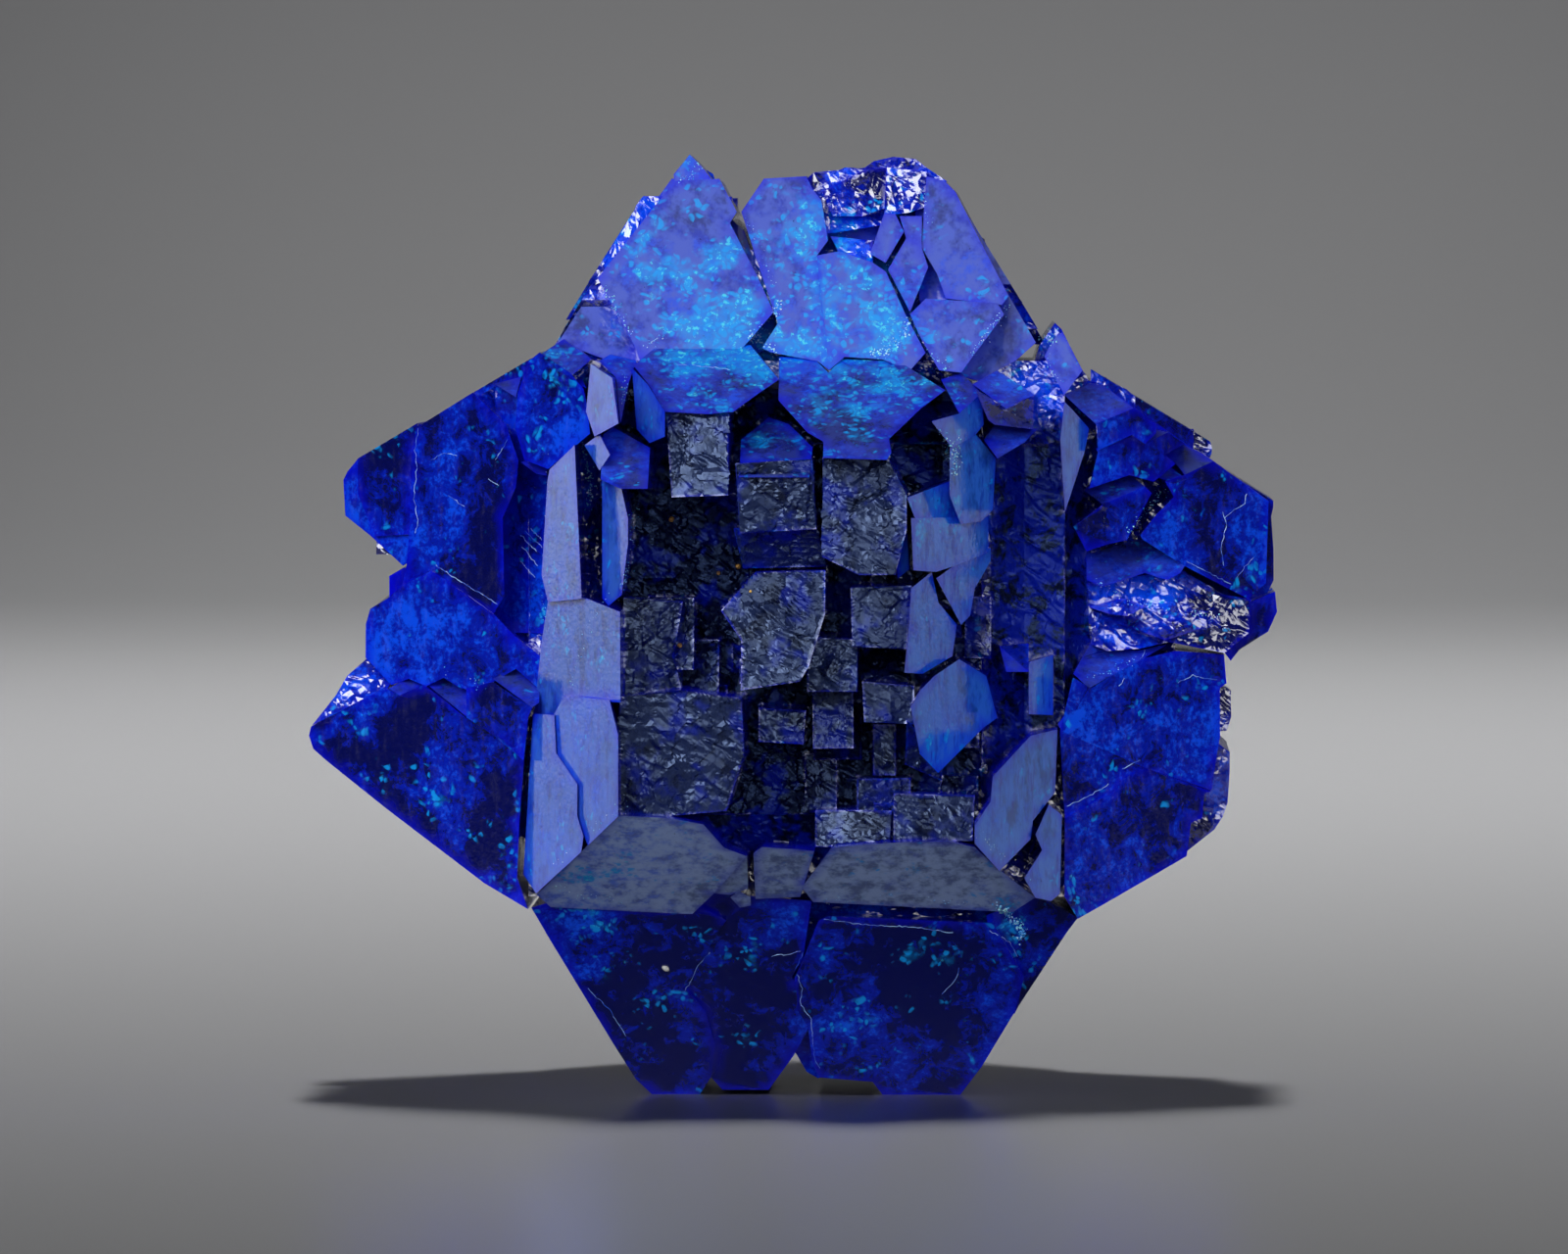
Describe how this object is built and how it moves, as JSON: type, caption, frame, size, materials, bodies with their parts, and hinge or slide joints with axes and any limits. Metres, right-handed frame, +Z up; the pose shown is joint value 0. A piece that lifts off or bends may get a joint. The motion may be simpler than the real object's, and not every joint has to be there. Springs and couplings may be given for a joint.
{
  "type": "cumengeite crystal star",
  "caption": "Star of intergrown deep blue cumengeite pyramids with a stepped, hollow-faced front arm, standing on its worn lower tips.",
  "frame": {"origin": "on the supporting surface, under the middle of the bounding box", "axes": "+Z up, -Y out of the hollow-faced front arm, +X to the right of the picture"},
  "size_m": [0.0218, 0.0214, 0.0212],
  "materials": {
    "cumengeite": "see-through deep ultramarine crystal, glassy to pearly faces, rough grey-blue broken ends"
  },
  "bodies": {
    "root": {"cumengeite_star": "cumengeite"}
  },
  "joints": []
}
